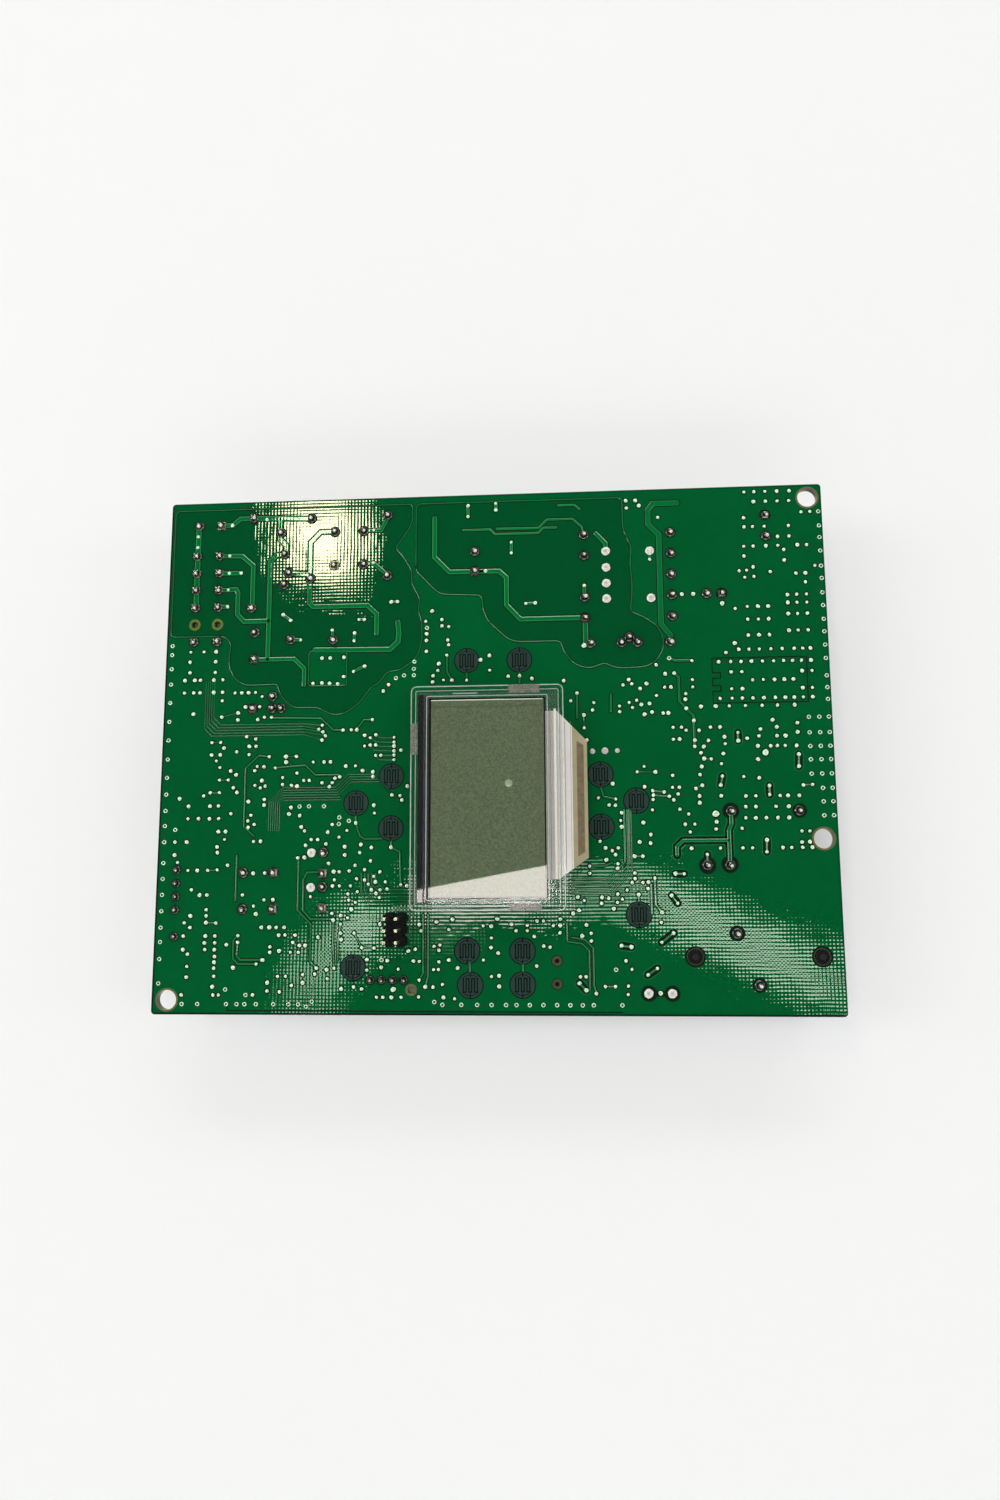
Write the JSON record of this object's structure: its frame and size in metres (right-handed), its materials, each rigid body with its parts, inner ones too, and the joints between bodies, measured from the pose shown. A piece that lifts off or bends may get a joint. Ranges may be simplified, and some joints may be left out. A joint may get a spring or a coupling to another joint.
{
  "type": "boiler control board",
  "caption": "Rectangular circuit board with a small display and key pads on one side and mains, ignition and sensor components on the other.",
  "frame": {"origin": "the board's centre, on the plane on which its tallest components stand", "axes": "+X along the board to the mounting-hole edge, +Y across it towards the transformer edge, +Z out of the display side"},
  "size_m": [0.1536, 0.12, 0.0318],
  "materials": {
    "beige_plastic": "moulded",
    "black_plastic": "moulded",
    "blue_resin": "dipped resin",
    "can_sleeve": "heat-shrink sleeve",
    "chip_ceramic": "fired",
    "clear_frame": "clear moulding",
    "copper_wire": "enamelled wire",
    "display_glass": "display cell, olive grey",
    "elastomer": "soft matt",
    "ferrite": "sintered",
    "fuse_glass": "clear",
    "gold_pin": "gold flash",
    "laminate": "solder mask over glass-fibre laminate",
    "led": "moulded",
    "light_guide": "clear moulding",
    "polariser": "satin film",
    "solder": "reflowed solder",
    "tinned_metal": "tin plate",
    "white_film": "film",
    "white_plastic": "moulded",
    "yellow_box": "moulded box"
  },
  "bodies": {
    "root": {"backlight_leds": "led", "bus_choke_bobbin": "black_plastic", "bus_choke_core": "ferrite", "bus_choke_windings": "copper_wire", "chip_components": "chip_ceramic", "choke_pins": "tinned_metal", "circuit_board": "laminate", "crystal": "tinned_metal", "diffuser_film": "white_film", "disc_capacitor": "blue_resin", "display_holder": "clear_frame", "earth_blade": "tinned_metal", "elastomer_strip": "elastomer", "filter_capacitor_left": "yellow_box", "filter_capacitor_lower": "yellow_box", "filter_capacitor_upper": "yellow_box", "front_polariser": "polariser", "fuse_caps": "tinned_metal", "fuse_clips": "tinned_metal", "fuse_tube": "fuse_glass", "high_voltage_tabs": "tinned_metal", "ignition_capacitor": "yellow_box", "ignition_transformer": "black_plastic", "lcd_cell": "display_glass", "led_housing": "beige_plastic", "light_guide": "light_guide", "line_capacitor_left": "yellow_box", "line_capacitor_right": "yellow_box", "line_choke_bobbin": "black_plastic", "line_choke_core": "ferrite", "line_choke_windings": "copper_wire", "logic_capacitor": "can_sleeve", "mains_header": "white_plastic", "mains_pins": "tinned_metal", "mains_transformer": "black_plastic", "memory": "black_plastic", "memory_leads": "tinned_metal", "microcontroller": "black_plastic", "microcontroller_leads": "tinned_metal", "output_capacitor": "can_sleeve", "output_driver": "black_plastic", "output_driver_leads": "tinned_metal", "panel_header": "white_plastic", "panel_pins": "tinned_metal", "programming_header": "black_plastic", "programming_pins": "gold_pin", "rectifier_diodes": "black_plastic", "reflector_film": "white_film", "relay_case": "black_plastic", "relay_pins": "tinned_metal", "sensor_header": "white_plastic", "sensor_pins": "tinned_metal", "solder_joints": "solder", "spark_capacitor": "yellow_box", "supply_capacitor": "can_sleeve", "test_pins": "tinned_metal", "transformer_pins": "tinned_metal", "varistor": "blue_resin", "voltage_regulator": "black_plastic"}
  },
  "joints": []
}
